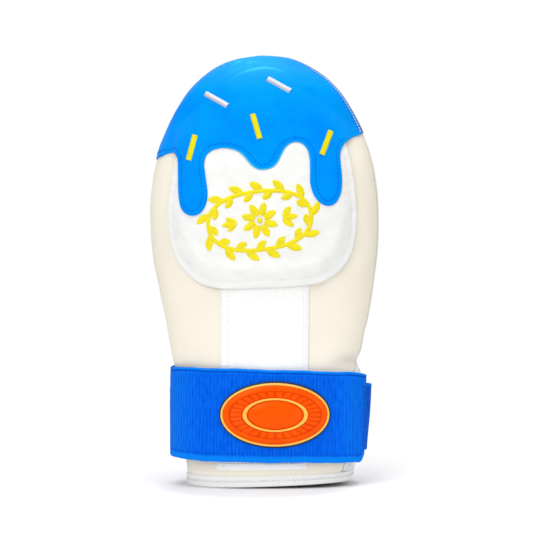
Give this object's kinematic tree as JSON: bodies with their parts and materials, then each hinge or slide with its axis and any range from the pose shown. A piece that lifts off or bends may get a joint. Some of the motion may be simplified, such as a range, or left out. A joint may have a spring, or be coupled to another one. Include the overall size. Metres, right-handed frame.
{
  "type": "sliding mitt",
  "caption": "Padded baseball sliding mitt for one hand: soft shell, padded back flap, dripping leather fingertip cap, wide elastic wrist strap.",
  "frame": {"origin": "bottom centre of the mitt's bounding box, on the surface that its cuff stands on", "axes": "+Z from the cuff to the fingertips; -Y the back of the hand, with the pad and the badge; +X the side with the gusset and the strap's free end"},
  "size_m": [0.1505, 0.0725, 0.2814],
  "materials": {
    "shell_cream": "satin, foam-backed synthetic leather",
    "gusset_knit": "matt stretch knit",
    "pad_fabric": "matt, fine grained padded fabric",
    "cap_leather": "semi-matt smooth leather",
    "strip_elastic": "matt woven elastic",
    "binding_elastic": "matt folded elastic",
    "strap_elastic": "matt ribbed elastic",
    "tab_hook": "matt hook-and-loop tape",
    "badge_rubber": "glossy moulded rubber",
    "badge_rim": "glossy moulded rubber",
    "badge_edge": "satin moulded rubber",
    "thread_white": "satin thread",
    "thread_yellow": "satin embroidery thread",
    "thread_blue": "satin thread",
    "thread_grey": "satin thread"
  },
  "bodies": {
    "root": {"front_panel": "shell_cream", "palm_panel": "shell_cream", "side_gusset": "gusset_knit", "hand_pad": "pad_fabric", "fingertip_cap": "cap_leather", "centre_strip": "strip_elastic", "cuff_binding": "binding_elastic", "wrist_strap": "strap_elastic", "strap_tab": "tab_hook", "strap_badge": "badge_rubber"}
  },
  "joints": []
}
